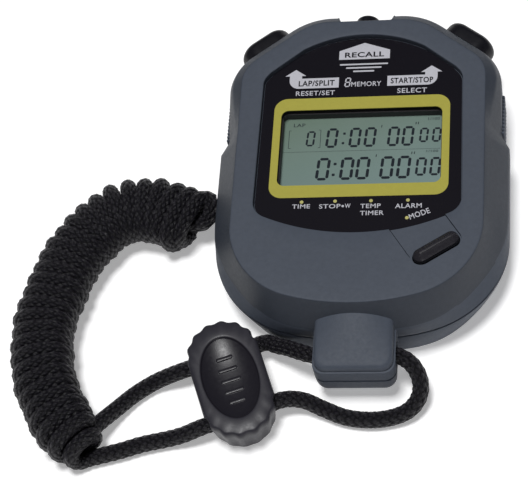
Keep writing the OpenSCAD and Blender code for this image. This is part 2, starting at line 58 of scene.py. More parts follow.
CASE_H = 20.5
HALF_W = 33.8
BEVEL_Z = 12.5
PARTING_Z = 8.5
CREST_Z = 18.7
LIP = 0.14
POCKET_Z = 18.9
CEILING_Z = 17.6
PRINT_Z = 19.1
LENS_TOP = 20.1
LCD_Z = 15.7
INK = 0.015
CENTRE = (0, 6)
CORNER_C = (9.6, -11.2)
SHOULDER_C = (20.1, 26.3)
RIDGE_C = (8.2, 30.4)
GRIP_X = 32.1
BUTTON_A = 52
SIDE_SEAT = (45.1, 5.65)
EDGE_Z = 13.4
GAP_X = 6.8
GAP_Y = 45.2
SIDE_CAP = (13.2, 8.4)
RECALL_CAP = (5.6, 8.4)
STEM_SPAN = (-8.2, -0.4)
MODE_POS = (18.2, -19.8)
MODE_A = 33
MODE_SIZE = (11.3, 3.4)
MODE_RECESS = (12.4, 4.7)
MODE_PROUD = 1.5
WINDOW = (37.5, 20.7)
WINDOW_Y = 8.4
LUG_X = 9.2
LUG_Y = -46.6
LUG_ROOT = -32
LUG_LOW = 3.8
LUG_TOP = 17.8
LUG_SLOPE = math.tan(math.radians(17))
BORE = (-40, 8.5, 2.6)
CASE_SCREWS = ((27, 24.5), (-27, 24.5), (13, -29.5), (-13, -29.5))
CORD_R = 1.9
CORD_STEP = 0.4
SLIDER_C = (-28, -45.2)
SLIDER_A = 20
SLIDER_SIZE = (16.5, 30)
SLIDER_PITCH = 15.2
SLIDER_BORE_Z = 4.5
DISH = (6.4, 10.6)

# Routes of the two cord legs, from the middle of the lug to the hank, as in the CAD model
LEFT_ROUTE = [(0, -40, 8.5), (-5, -40, 8.5), (-9.4, -40, 8.4), (-12.8, -38.7, 7.7), (-15.8, -37, 6.4),
    (-18.4, -35.8, 5.2), (-21.2, -34.6, 4.5), (-25.9, -36.3, 4.5), (-30.6, -38.1, 4.5), (-35.3, -39.8, 4.5),
    (-40, -41.5, 4.4), (-43.6, -42.3, 3.2), (-47, -43.4, 2.1), (-51, -46.2, 2), (-54.6, -50, 2.6),
    (-57.6, -54, 4.2), (-60, -57.4, 5.4)]
RIGHT_ROUTE = [(0, -40, 8.5), (5, -40, 8.5), (8.6, -40.1, 8.4), (12, -41.6, 7.4), (14, -44.6, 5.9),
    (14, -48, 4.3), (11.8, -50.8, 2.9), (8, -52.3, 2.1), (3, -52.9, 2), (-2.5, -52.2, 2),
    (-7.5, -50.3, 2.4), (-11.8, -48.8, 3.6), (-16, -48.9, 4.5), (-20.7, -50.6, 4.5), (-25.4, -52.3, 4.5),
    (-30.1, -54, 4.5), (-34.8, -55.8, 4.4), (-38.6, -56.8, 3.1), (-42.5, -57.4, 2.1), (-48, -58.6, 2),
    (-53, -60.2, 2)]
HANK_ROUTE = [(-60, -62), (-65.4, -56), (-69.5, -48.5), (-72.4, -40), (-73, -31), (-71.4, -22), (-68.4, -13),
    (-63.6, -5), (-57, 0), (-49, 0.6), (-42.5, -2)]
HANK_HALF = (5.4, 4.4)
HANK_Z = 6.3
HANK_STEP = 0.25
TURN_PITCH = 3.1
TURN_POINTS = 24


def add_object(name, data):
    made = bpy.data.objects.new(name, data)
    scene.collection.objects.link(made)
    return made


# ---------- Camera ----------

CAMERA_ANGLES = (18, 58, 16.58)
CAMERA_TARGET = (-20.27, -18.37, 20.5)
CAMERA_DISTANCE = 449.6
CAMERA_LENS = 137.07


def make_camera():
    """Camera with a long lens, turned and aimed as above."""
    az, el, roll = (math.radians(a) for a in CAMERA_ANGLES)
    back = Vector((math.sin(az) * math.cos(el), -math.cos(az) * math.cos(el), math.sin(el)))
    side = Vector((math.cos(az), math.sin(az), 0))
    above = back.cross(side)
    right = side * math.cos(roll) - above * math.sin(roll)
    up = above * math.cos(roll) + side * math.sin(roll)
    camera = add_object("camera", bpy.data.cameras.new("camera"))
    turn = Matrix((right, up, back)).transposed().to_4x4()
    camera.matrix_world = Matrix.Translation((Vector(CAMERA_TARGET) + back * CAMERA_DISTANCE) * MM) @ turn
    camera.data.sensor_width = 36
    camera.data.lens = CAMERA_LENS
    camera.data.clip_start = 0.01
    camera.data.clip_end = 20
    scene.camera = camera


make_camera()


# ---------- Materials ----------

class Shader:
    """A material with one Principled node, and short calls for the nodes that feed it."""

    def __init__(self, name, color, roughness, **values):
        self.material = bpy.data.materials.new(name)
        self.material.use_nodes = True
        self.tree = self.material.node_tree
        self.main = self.tree.nodes["Principled BSDF"]
        self.drive("Base Color", (*color, 1))
        self.drive("Roughness", roughness)
        for key, value in values.items():
            self.drive(key.replace("_", " "), value)

    def node(self, kind, **settings):
        made = self.tree.nodes.new(kind)
        for key, value in settings.items():
            setattr(made, key, value)
        return made

    def feed(self, socket, value):
        if isinstance(value, bpy.types.NodeSocket):
            self.tree.links.new(value, socket)
        else:
            socket.default_value = value

    def calc(self, operation, a, b=0.0, c=0.0):
        made = self.node("ShaderNodeMath", operation=operation)
        for socket, value in zip(made.inputs, (a, b, c)):
            self.feed(socket, value)
        return made.outputs[0]

    def mul(self, a, b):
        return self.calc("MULTIPLY", a, b)

    def add(self, a, b):
        return self.calc("ADD", a, b)

    def drive(self, name, value):
        self.feed(self.main.inputs[name], value)

    def place(self, kind="Object"):
        return self.node("ShaderNodeTexCoord").outputs[kind]

    def noise(self, scale, detail=2.0, stretch=(1, 1, 1)):
        """Noise in object space; the scale is in features per metre."""
        mapping = self.node("ShaderNodeMapping")
        mapping.inputs["Scale"].default_value = stretch
        self.feed(mapping.inputs["Vector"], self.place())
        made = self.node("ShaderNodeTexNoise")
        made.inputs["Scale"].default_value = scale
        made.inputs["Detail"].default_value = detail
        self.feed(made.inputs["Vector"], mapping.outputs[0])
        return made.outputs[0]

    def remap(self, value, low, high, to_low, to_high):
        made = self.node("ShaderNodeMapRange")
        for socket, v in zip(made.inputs, (value, low, high, to_low, to_high)):
            self.feed(socket, v)
        return made.outputs[0]

    def blend(self, share, a, b):
        made = self.node("ShaderNodeMix", data_type="RGBA")
        self.feed(made.inputs[0], share)
        self.feed(made.inputs[6], (*a, 1) if isinstance(a, tuple) else a)
        self.feed(made.inputs[7], (*b, 1) if isinstance(b, tuple) else b)
        return made.outputs[2]

    def bump(self, height, distance, edge=0.0):
        """Relief of the given depth in millimetres; edge rounds sharp edges by that radius."""
        made = self.node("ShaderNodeBump")
        made.inputs["Strength"].default_value = 1.0
        made.inputs["Distance"].default_value = distance * MM
        self.feed(made.inputs["Height"], height)
        if edge:
            round_edge = self.node("ShaderNodeBevel", samples=4)
            round_edge.inputs["Radius"].default_value = edge * MM
            self.feed(made.inputs["Normal"], round_edge.outputs[0])
        self.drive("Normal", made.outputs[0])

    def edges(self, radius):
        """1 on sharp edges within the radius in millimetres, 0 on flat ground."""
        round_edge = self.node("ShaderNodeBevel", samples=4)
        round_edge.inputs["Radius"].default_value = radius * MM
        dot = self.node("ShaderNodeVectorMath", operation="DOT_PRODUCT")
        self.feed(dot.inputs[0], round_edge.outputs[0])
        self.feed(dot.inputs[1], self.node("ShaderNodeNewGeometry").outputs["Normal"])
        return self.remap(dot.outputs["Value"], 0.985, 0.8, 0.0, 1.0)


def shade(color, k):
    return tuple(min(1.0, c * k) for c in color)


def moulded_plastic(name, color, roughness, grain=0.02, wear_and_highlight=0.35, edge=0.12, specular=0.5):
    """Moulded plastic: spark-eroded grain, faint mottling, and edges a little lighter, partly rubbed wear and
    partly painted highlight.
    """
    s = Shader(name, color, roughness, Specular_IOR_Level=specular)
    mottle = s.blend(s.remap(s.noise(900, 3), 0.35, 0.65, 0, 1), shade(color, 0.96), shade(color, 1.04))
    # Lighter edges: partly rubbed wear, partly painted highlight.
    rubbed_and_highlit = s.mul(s.edges(0.3), s.remap(s.noise(420, 3), 0.4, 0.65, 0.2 * wear_and_highlight, wear_and_highlight))
    s.drive("Base Color", s.blend(rubbed_and_highlit, mottle, shade(color, 1.9)))
    dull = s.remap(s.noise(1500, 2), 0.3, 0.7, roughness - 0.04, roughness + 0.05)
    s.drive("Roughness", dull)
    s.bump(s.noise(3600, 2), grain, edge)
    return s.material


def metal(name, color, roughness, brushed=(1, 1, 1)):
    s = Shader(name, color, roughness, Metallic=1.0)
    grain = s.noise(900, 3, brushed)
    s.drive("Base Color", s.blend(grain, shade(color, 0.85), shade(color, 1.08)))
    s.drive("Roughness", s.remap(grain, 0.3, 0.7, roughness - 0.06, roughness + 0.08))
    s.bump(grain, 0.006, 0.05)
    return s.material


def soft_rubber(name, color, roughness=0.75):
    s = Shader(name, color, roughness)
    s.drive("Base Color", s.blend(s.noise(500, 3), shade(color, 0.8), shade(color, 1.25)))
    s.bump(s.noise(2600, 3), 0.03)
    return s.material


def printed_ink(name, color, roughness=0.4):
    """Screen-printed ink with a faintly uneven film."""
    s = Shader(name, color, roughness, Specular_IOR_Level=0.25)
    s.drive("Base Color", s.blend(s.noise(900, 3), shade(color, 0.93), shade(color, 1.05)))
    s.bump(s.noise(2400, 2), 0.004)
    return s.material


def clear_lens():
    """Clear acrylic: nearly all of the light passes, and dust and fine rubs show faintly."""
    s = Shader("clear_acrylic", (0.01, 0.01, 0.012), 0.06, Specular_IOR_Level=0.5, Alpha=0.05)
    s.drive("Roughness", s.remap(s.noise(260, 4, (1, 6, 1)), 0.4, 0.7, 0.03, 0.09))
    return s.material


def display_glass():
    """Grey-green twisted nematic display: greener and darker towards the top, the darkening being painted
    shade, and bluer towards the lower right.
    """
    s = Shader("lcd_grey_green", (0.2, 0.25, 0.24), 0.32, Specular_IOR_Level=0.3)
    parts = s.node("ShaderNodeSeparateXYZ")
    s.feed(parts.inputs[0], s.place())
    slant = s.add(parts.outputs[1], s.mul(parts.outputs[0], -0.35))
    share = s.remap(slant, -0.006, 0.024, 0, 1)
    # Darker towards the top: painted shade.
    base = s.blend(share, (0.245, 0.345, 0.335), (0.17, 0.245, 0.19))
    haze = s.remap(s.noise(90, 2), 0.3, 0.7, 0, 0.12)
    s.drive("Base Color", s.blend(haze, base, (0.3, 0.36, 0.35)))
    s.bump(s.noise(3000, 2), 0.003)
    return s.material


def resist_board():
    s = Shader("solder_resist", (0.02, 0.12, 0.06), 0.35)
    tracks = s.node("ShaderNodeTexBrick")
    for key, value in (("Scale", 420), ("Color1", (0.02, 0.12, 0.06, 1)),
            ("Color2", (0.025, 0.15, 0.075, 1)), ("Mortar", (0.05, 0.22, 0.11, 1))):
        tracks.inputs[key].default_value = value
    s.feed(tracks.inputs["Vector"], s.place())
    s.drive("Base Color", tracks.outputs["Color"])
    s.bump(tracks.outputs["Fac"], 0.03)
    return s.material


BRAID_CELLS = 8
BRAID_LAY = 1.9
UV_SPAN = 40.0


def braided_cord(name, color):
    """Round braid: two sets of strands cross over and under, each of several fine yarns, with painted shade
    in the hollows and painted sheen on the tops.
    """
    s = Shader(name, color, 0.46, Specular_IOR_Level=0.3, Sheen_Weight=0.05, Sheen_Roughness=0.4)
    s.drive("Sheen Tint", (0.75, 0.7, 0.85, 1))
    parts = s.node("ShaderNodeSeparateXYZ")
    s.feed(parts.inputs[0], s.place("UV"))
    along = s.mul(parts.outputs[0], UV_SPAN / BRAID_LAY)
    around = s.mul(parts.outputs[1], BRAID_CELLS)
    right, left = s.add(around, along), s.calc("SUBTRACT", around, along)
    right_in, left_in = s.calc("FRACT", right), s.calc("FRACT", left)
    cells = s.add(s.calc("FLOOR", right), s.calc("FLOOR", left))
    over = s.mul(s.calc("FRACT", s.mul(cells, 0.5)), 2)
    swap = s.mul(over, s.calc("SUBTRACT", left_in, right_in))
    across = s.add(right_in, swap)
    onward = s.calc("SUBTRACT", left_in, swap)
    hump = s.calc("POWER", s.calc("SINE", s.mul(across, math.pi)), 0.7)
    arch = s.calc("MULTIPLY_ADD", s.calc("SINE", s.mul(onward, math.pi)), 0.45, 0.55)
    strand = s.mul(hump, arch)
    yarn = s.calc("SINE", s.mul(across, 2 * math.pi * 4))
    height = s.calc("MULTIPLY_ADD", yarn, 0.07, s.calc("MULTIPLY_ADD", s.noise(5200, 2), 0.15, strand))
    # Painted shade in the hollows between strands and painted sheen on their raised tops.
    painted_relief_light = s.remap(height, 0.3, 1.1, 0, 1)
    s.drive("Base Color", s.blend(painted_relief_light, shade(color, 0.35), shade(color, 1.7)))
    s.bump(height, 0.5)
    return s.material


GREY = (0.062, 0.074, 0.098)
M = {
    "shell": moulded_plastic("grey_abs", GREY, 0.58, specular=0.28),
    # The bevel's darker colour is painted shade; its lower roughness is a smoother finish.
    "bevel": moulded_plastic("grey_abs_bevel_painted_shade", shade(GREY, 0.6), 0.5, specular=0.28),
    "cover": moulded_plastic("grey_abs_cover", shade(GREY, 0.95), 0.6, specular=0.28),
    "button": moulded_plastic("black_button", (0.005, 0.005, 0.008), 0.42, 0.008, 0.1, 0.15, 0.25),
    "key": moulded_plastic("black_key", (0.02, 0.019, 0.024), 0.28, 0.004, 0.1, 0.15, 0.5),
    # The dish's darker colour is painted shade in its recess.
    "dish": moulded_plastic("black_dish_painted_shade", (0.014, 0.013, 0.018), 0.34, 0.012, 0.2, 0.2, 0.35),
    "slider": moulded_plastic("black_slider", (0.03, 0.029, 0.037), 0.4, 0.012, 0.2, 0.2, 0.3),
    "holder": moulded_plastic("black_holder", (0.022, 0.019, 0.022), 0.55, 0.02, 0.1),
    "print": printed_ink("black_film", (0.008, 0.007, 0.011), 0.25),
    "yellow": printed_ink("olive_yellow_ink", (0.5, 0.46, 0.075), 0.5),
    "white": printed_ink("white_ink", (0.66, 0.66, 0.72), 0.5),
    "dot": printed_ink("pale_yellow_ink", (0.62, 0.58, 0.2), 0.5),
    "segment": printed_ink("display_segment", (0.008, 0.014, 0.022), 0.4),
    "segment_faint": printed_ink("display_segment_faint", (0.035, 0.05, 0.052), 0.4),
    "lens": clear_lens(),
    "lcd": display_glass(),
    "reflector": metal("reflector_film", (0.7, 0.72, 0.7), 0.45),
    "seal": soft_rubber("black_seal", (0.008, 0.008, 0.01)),
    "rubber": soft_rubber("grey_rubber", (0.05, 0.05, 0.055)),
    "foam": soft_rubber("dark_foam", (0.02, 0.02, 0.022), 0.95),
    "board": resist_board(),
    "resin": moulded_plastic("black_resin", (0.008, 0.008, 0.008), 0.2, 0.01, 0.0),
    "ceramic": soft_rubber("fired_ceramic", (0.45, 0.4, 0.33), 0.5),
    "steel": metal("plated_steel", (0.62, 0.63, 0.65), 0.28, (1, 1, 8)),
    "brass": metal("spring_brass", (0.72, 0.52, 0.22), 0.3, (8, 1, 1)),
    "cord": braided_cord("black_braid", (0.004, 0.0035, 0.006)),
}


# ---------- Mesh helpers, in millimetres until a piece is placed ----------

def shift(*xyz):
    return Matrix.Translation(xyz)


def spin(degrees, axis):
    return Matrix.Rotation(math.radians(degrees), 4, axis)


def distances(points):
    """How far each point of a line is along it."""
    return np.concatenate([[0], np.cumsum(norm(np.diff(points, axis=0), axis=1))])


def to_mesh(verts, faces):
    mesh = bpy.data.meshes.new("shape")
    mesh.from_pydata([tuple(v) for v in verts], [], faces)
    bm = bmesh.new()
    bm.from_mesh(mesh)
    bmesh.ops.recalc_face_normals(bm, faces=bm.faces)
    bm.to_mesh(mesh)
    bm.free()
    return mesh


def loft(rings, closed=False):
    """A skin over rings of equal length, closed on itself or capped at both ends."""
    n, last = len(rings[0]), len(rings) - 1
    pairs = [(i, i + 1) for i in range(last)] + ([(last, 0)] if closed else [])
    faces = [(a * n + k, a * n + (k + 1) % n, b * n + (k + 1) % n, b * n + k)
        for a, b in pairs for k in range(n)]
    if not closed:
        faces += [tuple(range(n)), tuple(range(last * n, last * n + n))]
    return to_mesh(np.concatenate(rings), faces)


def join(meshes):
    bm = bmesh.new()
    for m in meshes:
        bm.from_mesh(m)
    made = bpy.data.meshes.new("joined")
    bm.to_mesh(made)
    bm.free()
    return made


def moved(mesh, matrix):
    mesh.transform(matrix)
    if matrix.determinant() < 0:
        mesh.flip_normals()
    return mesh


def cut(mesh, cutters):
    """The mesh without the space of the cutters."""
    target = add_object("cut_target", mesh)
    tools = []
    for c in cutters:
        tool = add_object("cutter", c)
        tools.append(tool)
        modifier = target.modifiers.new("cut", "BOOLEAN")
        modifier.operation, modifier.solver, modifier.object = "DIFFERENCE", "EXACT", tool
    bpy.context.view_layer.update()
    graph = bpy.context.evaluated_depsgraph_get()
    made = bpy.data.meshes.new_from_object(target.evaluated_get(graph), depsgraph=graph)
    for o in [target, *tools]:
        bpy.data.objects.remove(o)
    return made


def place(mesh, name, material, body="case", *, replaces=(), smooth=32):
    """Puts a finished mesh in the scene, in metres, as a piece that rides on a body."""
    mesh.transform(Matrix.Scale(MM, 4))
    mesh.materials.clear()
    mesh.materials.append(M[material])
    mesh.shade_smooth()
    mesh.set_sharp_from_angle(angle=math.radians(smooth))
    piece = add_object(name, mesh)
    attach(piece, body)
    if replaces:
        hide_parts(*replaces)
    return piece


def ring3(points, z):
    p = np.asarray(points, float)
    height = np.full(len(p), z) if np.isscalar(z) else np.asarray(z)
    return np.column_stack([p[:, 0], p[:, 1], height])


def prism(points, z0, z1):
    return loft([ring3(points, z0), ring3(points, z1)])


def arc(c, r, a0, a1, n):
    a = np.radians(np.linspace(a0, a1, n + 1))
    return np.column_stack([c[0] + r * np.cos(a), c[1] + r * np.sin(a)])


def line(a, b, n):
    return np.column_stack([np.linspace(a[i], b[i], n + 1) for i in (0, 1)])


def both_halves(p):
    return np.concatenate([p, p[::-1] * (-1, 1)])


def round_rect(w, h, r, y=0.0, x=0.0, n=10):
    corners = [((1, -1), -90), ((1, 1), 0), ((-1, 1), 90), ((-1, -1), 180)]
    return np.concatenate([arc((x + sx * (w / 2 - r), y + sy * (h / 2 - r)), r, a, a + 90, n)
        for (sx, sy), a in corners])


def oblong(w, h, n=14):
    return round_rect(w, h, min(w, h) / 2 - 0.005, n=n)


def inset(points, d):
    """A closed outline moved inwards by d, given anticlockwise."""
    p = np.asarray(points, float)
    t = np.roll(p, -1, axis=0) - np.roll(p, 1, axis=0)
    t /= np.maximum(norm(t, axis=1, keepdims=True), 1e-9)
    return p + np.reshape(d, (-1, 1)) * np.column_stack([-t[:, 1], t[:, 0]])


# ---------- Plans of the watch ----------

def case_plan(i=0.0):
    """Outline of the case, moved inwards by i."""
    foot = arc((0, 33.5), 70 - i, -90, -77.87, 12)
    corner = arc(CORNER_C, 24.2 - i, -77.87, 0, 84)
    side = line((HALF_W - i, CORNER_C[1]), (HALF_W - i, 11), 24)
    grip = line((GRIP_X - i, 14), (GRIP_X - i, SHOULDER_C[1]), 18)
    shoulder = arc(SHOULDER_C, 12 - i, 0, BUTTON_A, 26)
    ridge = arc(RIDGE_C, 16.2 - i, BUTTON_A, 90, 26)
    gap = line((GAP_X + i, GAP_Y - i), (0, GAP_Y - i), 12)
    return both_halves(np.concatenate([foot[:-1], corner[:-1], side, grip[:-1], shoulder[:-1], ridge,
        [(GAP_X + i, 46.6 - i)], gap[:-1]]))


def face_plan():
    """Outline of the flat front face."""
    foot = arc((0, 19.2), 52.5, -90, -73.9, 20)
    corner = arc((9.2, -12.7), 19.3, -73.9, 0, 60)
    shoulder = arc(SHOULDER_C, 8.4, 0, BUTTON_A, 24)
    ridge = arc(RIDGE_C, 12.6, BUTTON_A, 90, 24)
    return both_halves(np.concatenate([foot[:-1], corner, shoulder, ridge]))


def lens_plan(i=0.0):
    """Outline of the lens, moved inwards by i."""
    def between(a, b):
        return math.degrees(math.atan2(b[1] - a[1], b[0] - a[0]))
    foot_c, heel_c, top_c, corner_c = (0, 34.6), (19.1, -6.7), (0, 10.6), (19.3, 25.53)
    heel_a, corner_a = between(foot_c, heel_c), between(top_c, corner_c)
    return both_halves(np.concatenate([arc(foot_c, 50 - i, -90, heel_a, 20)[:-1],
        arc(heel_c, 4.5 - i, heel_a, 0, 16), arc(corner_c, 4 - i, 0, corner_a, 16)[:-1],
        arc(top_c, 28.4 - i, corner_a, 90, 24)]))


def reach_of(plan, angles):
    """Distance from the centre to the outline along each direction, in radians."""
    a = np.asarray(plan, float) - CENTRE
    edge = np.roll(a, -1, axis=0) - a
    d = np.column_stack([np.cos(angles), np.sin(angles)])
    cross = d[:, None, 0] * edge[None, :, 1] - d[:, None, 1] * edge[None, :, 0]
    cross = np.where(np.abs(cross) < 1e-12, 1e-12, cross)
    t = (a[None, :, 0] * edge[None, :, 1] - a[None, :, 1] * edge[None, :, 0]) / cross
    u = (a[None, :, 0] * d[:, None, 1] - a[None, :, 1] * d[:, None, 0]) / cross
    hit = (t > 0) & (u >= -1e-6) & (u <= 1 + 1e-6)
    return np.where(hit, t, 0).max(axis=1)


def plan_angles():
    """Directions of the case outline's own points, so that its corners stay sharp."""
    p = case_plan() - CENTRE
    a = np.sort(np.arctan2(p[:, 1], p[:, 0]))
    keep = np.concatenate([[True], np.diff(a) > 0.0008])
    return a[keep]


ANGLES = plan_angles()
OUT = np.column_stack([np.cos(ANGLES), np.sin(ANGLES)])
CASE_R = reach_of(case_plan(), ANGLES)
FACE_R = np.minimum(reach_of(face_plan(), ANGLES), CASE_R - 0.3)


def at(r, z):
    """Ring at distance r from the centre in each direction."""
    return ring3(CENTRE + OUT * np.broadcast_to(r, ANGLES.shape)[:, None], z)


def corner_tuck():
    """How far the lower corners are drawn in above and below the parting line, at most 1."""
    p = CENTRE + OUT * CASE_R[:, None]
    a = np.degrees(np.arctan2(p[:, 1] - CORNER_C[1], np.abs(p[:, 0]) - CORNER_C[0]))
    return np.cos(np.radians(np.clip((a + 36) * 1.875, -90, 90))) ** 2


TUCK = corner_tuck()
UPPER = np.clip(((CENTRE[1] + OUT[:, 1] * CASE_R) - 12) / 16, 0, 1)
UPPER = UPPER * UPPER * (3 - 2 * UPPER)
IN_GAP = (np.abs(CENTRE[0] + OUT[:, 0] * CASE_R) < GAP_X + 0.2) & (OUT[:, 1] > 0.5)


def rounded(a, b, c, n):
    """Rings round the edge at b, between a and c, as a quadratic curve."""
    return [(1 - t) ** 2 * a + 2 * t * (1 - t) * b + t * t * c for t in np.linspace(0, 1, n)]


def toward(a, b, distance):
    """Ring on the way from ring a to ring b, at that distance from a."""
    d = b - a
    return a + d * (distance / np.maximum(norm(d, axis=1, keepdims=True), 1e-9))


# ---------- Shells ----------

def grip_ribs(z0, z1):
    """Upright ribs of the two side grips, with round ends."""
    end = ((0, 0.05), (0.1, 0.26), (0.35, 0.4))
    profile = [(z0 + d, r) for d, r in end] + [(z1 - d, r) for d, r in end[::-1]]
    spots = [(side * (GRIP_X + 0.2), 15.2 + i) for side in (-1, 1) for i in range(11)]
    return [loft([ring3(arc(spot, r, 0, 330, 11), z) for z, r in profile]) for spot in spots]


def side_cutter(cap, side):
    """Pocket for an edge button's cap."""
    return moved(prism(oblong(cap[0] + 0.6, cap[1] + 0.6, 12), -1.8, 8), seat(side))


def seat(side):
    """Frame of an edge button: local +Z points outwards and local +Y upwards. Side 0 is recall."""
    if side == 0:
        return shift(0, GAP_Y, EDGE_Z) @ spin(-90, "X") @ spin(180, "Z")
    out = spin(90, "Y") @ spin(90, "Z")
    turn = spin(BUTTON_A, "Z") @ shift(*SIDE_SEAT, EDGE_Z) @ out
    return turn if side > 0 else Matrix.Scale(-1, 4, (1, 0, 0)) @ turn


def at_mode():
    """Frame of the mode button: local +X runs along it, and local +Y points to the lens."""
    return shift(*MODE_POS, 0) @ spin(MODE_A, "Z")


def mode_recess():
    """Shallow recess round the mode button, open towards the lens."""
    half, r = MODE_RECESS[0] / 2, MODE_RECESS[1] / 2
    outline = np.concatenate([[(half, 10.6)], arc((half - r, 0), r, 0, -90, 12),
        arc((r - half, 0), r, -90, -180, 12), [(-half, 10.6)]])[::-1]
    return moved(prism(outline, CASE_H - 0.8, CASE_H + 1), at_mode())


def mode_groove():
    """Fine groove that marks the recess's left edge."""
    half = MODE_RECESS[0] / 2
    return moved(prism(round_rect(0.32, 8.6, 0.1, 5.6, 0.1 - half, 3), CASE_H - 1.3, CASE_H + 0.5), at_mode())


def bore_cutter():
    """The cord's bore through the lug, with a flared mouth on each side."""
    y, z, r = BORE
    flares = ((8, 0), (8.7, 0.12), (LUG_X, 0.45), (9.6, 0.9), (20, 1))
    profile = [(-x, flare) for x, flare in flares[::-1]] + list(flares)
    rings = [ring3(arc((0, 0), r + flare, 0, 352.5, 47), x) for x, flare in profile]
    return moved(loft(rings), shift(0, y, z) @ spin(90, "Y"))


def lug_outline(d, n=12):
    """Plan of the lug moved inwards by d on its three free sides."""
    w, r = LUG_X - d, 2.6
    low = LUG_Y + d
    side = line((w, low + r + 1), (w, LUG_ROOT), 8)
    return np.concatenate([arc((-w + r, low + r), r, 180, 270, n), arc((w - r, low + r), r, 270, 360, n),
        side, line((w - 1, LUG_ROOT), (1 - w, LUG_ROOT), 12), side[::-1] * (-1, 1)])


def lug_crown(p):
    """Height of the lug's top: arched where it leaves the body, nearly level at its front edge."""
    arch = 0.25 + 2.2 * np.clip((p[:, 1] - LUG_Y) / 12.2, 0, 1.2)
    return LUG_TOP + LUG_SLOPE * (p[:, 1] + 34) - arch * (np.minimum(np.abs(p[:, 0]), 9) / 8.6) ** 2


def lug_upper():
    low = PARTING_Z + LIP
    profile = ((0.25, low), (0.02, low + 0.2), (0, 11.9), (0.06, 12.2), (0.5, 12.28), (0.5, 12.42),
        (0.42, 12.5))
    rings = [ring3(lug_outline(d), z) for d, z in profile]
    edge_r, top_in = 0.8, 0.45
    base = lug_outline(top_in)
    rings.append(ring3(base, lug_crown(base) - edge_r))
    for a in (15, 30, 45, 60, 75, 90):
        p = lug_outline(top_in + edge_r * (1 - math.cos(math.radians(a))))
        rings.append(ring3(p, lug_crown(p) - edge_r * (1 - math.sin(math.radians(a)))))
    centre = np.array([0, -39.0])
    for k in np.linspace(0.92, 0.04, 12):
        p = centre + (lug_outline(top_in + edge_r) - centre) * k
        rings.append(ring3(p, lug_crown(p)))
    return loft(rings)


def lug_lower():
    top, edge_r = PARTING_Z - LIP, 1.3
    rings = [ring3(lug_outline(0.25), top), ring3(lug_outline(0.02), top - 0.2), ring3(lug_outline(0.1), 6)]
    for a in (0, 25, 50, 70, 90):
        p = lug_outline(0.2 + edge_r * (1 - math.cos(math.radians(a))))
        rings.append(ring3(p, LUG_LOW + edge_r * (1 - math.sin(math.radians(a)))))
    return loft(rings)


def front_shell():
    """Closed skin: from the window over the face, bevel and wall, and back inside."""
    window = reach_of(round_rect(WINDOW[0] + 2.6, WINDOW[1] + 2.6, 1.5, WINDOW_Y), ANGLES)
    lens = reach_of(lens_plan(), ANGLES)
    face_edge = at(FACE_R, CASE_H)
    bevel_edge = at(CASE_R - 2.0 * TUCK, BEVEL_Z + 3.8 * UPPER)
    slope = (CASE_H - CREST_Z) / (CASE_H - BEVEL_Z)
    on_bevel = FACE_R + (CASE_R - 2.0 * TUCK - FACE_R) * slope
    crest = at(on_bevel + (CASE_R - np.where(IN_GAP, 0.9, 1.2) - on_bevel) * UPPER, CREST_Z)
    lens_lip = at(lens + 0.35, CASE_H)
    face_in = toward(face_edge, at(lens, CASE_H), 0.4)
    bevel_top = toward(face_edge, crest, 0.4)
    crest_in, crest_out = toward(crest, face_edge, 0.6), toward(crest, bevel_edge, 0.6)
    bevel_low = toward(bevel_edge, crest, 0.8)
    wall_low = at(CASE_R - 0.05, PARTING_Z + LIP + 0.25)
    wall_top = toward(bevel_edge, wall_low, 0.8)
    inner = reach_of(case_plan(2), ANGLES) - 1.5 * TUCK
    rings = [at(window, CEILING_Z), at(window, POCKET_Z), at(lens, POCKET_Z), at(lens, CASE_H - 0.35)]
    rings += rounded(at(lens, CASE_H - 0.35), at(lens, CASE_H), lens_lip, 4)[1:]
    rings += [lens_lip + (face_in - lens_lip) * t for t in (0.3, 0.65)]
    rings += rounded(face_in, face_edge, bevel_top, 6)
    rings += rounded(crest_in, crest, crest_out, 5)
    rings += [crest_out + (bevel_low - crest_out) * t for t in (0.3, 0.6)]
    rings += rounded(bevel_low, bevel_edge, wall_top, 6)
    rings += [wall_top + (wall_low - wall_top) * t for t in (0.35, 0.7, 1)]
    rings += [at(CASE_R - 0.15, PARTING_Z + LIP + 0.06), at(CASE_R - 0.32, PARTING_Z + LIP)]
    rings += [at(inner, PARTING_Z + LIP), at(inner, 11), at(FACE_R * 0.94, CEILING_Z)]
    hole = prism(oblong(MODE_SIZE[0] + 0.5, MODE_SIZE[1] + 0.5), CEILING_Z - 1, CASE_H + 2)
    cutters = [side_cutter(SIDE_CAP, 1), side_cutter(SIDE_CAP, -1), side_cutter(RECALL_CAP, 0),
        mode_recess(), mode_groove(), moved(hole, at_mode())]
    body = cut(loft(rings, closed=True), cutters)
    lug = cut(lug_upper(), [bore_cutter()])
    of_body = len(body.polygons)
    whole = join([body, lug, *grip_ribs(PARTING_Z + 0.3, 12.9)])
    piece = place(whole, "front_shell_skin", "shell", replaces=["front_shell"], smooth=30)
    paint_bevel_shade(piece.data, of_body)


def paint_bevel_shade(mesh, of_body):
    """Gives the bevel round the face, among the body's own polygons, a smoother finish and a darker colour,
    which is painted shade.
    """
    mesh.materials.append(M["bevel"])
    middle = np.array([face.center for face in mesh.polygons]) / MM
    tilt = np.array([face.normal.z for face in mesh.polygons])
    x, y = middle[:, 0] - CENTRE[0], middle[:, 1] - CENTRE[1]
    beyond = np.hypot(x, y) > reach_of(face_plan(), np.arctan2(y, x))
    chosen = beyond & (np.arange(len(middle)) < of_body) & (middle[:, 2] > BEVEL_Z)
    chosen &= (tilt > 0.2) & (tilt < 0.98)
    for k in np.flatnonzero(chosen):
        mesh.polygons[int(k)].material_index = 1


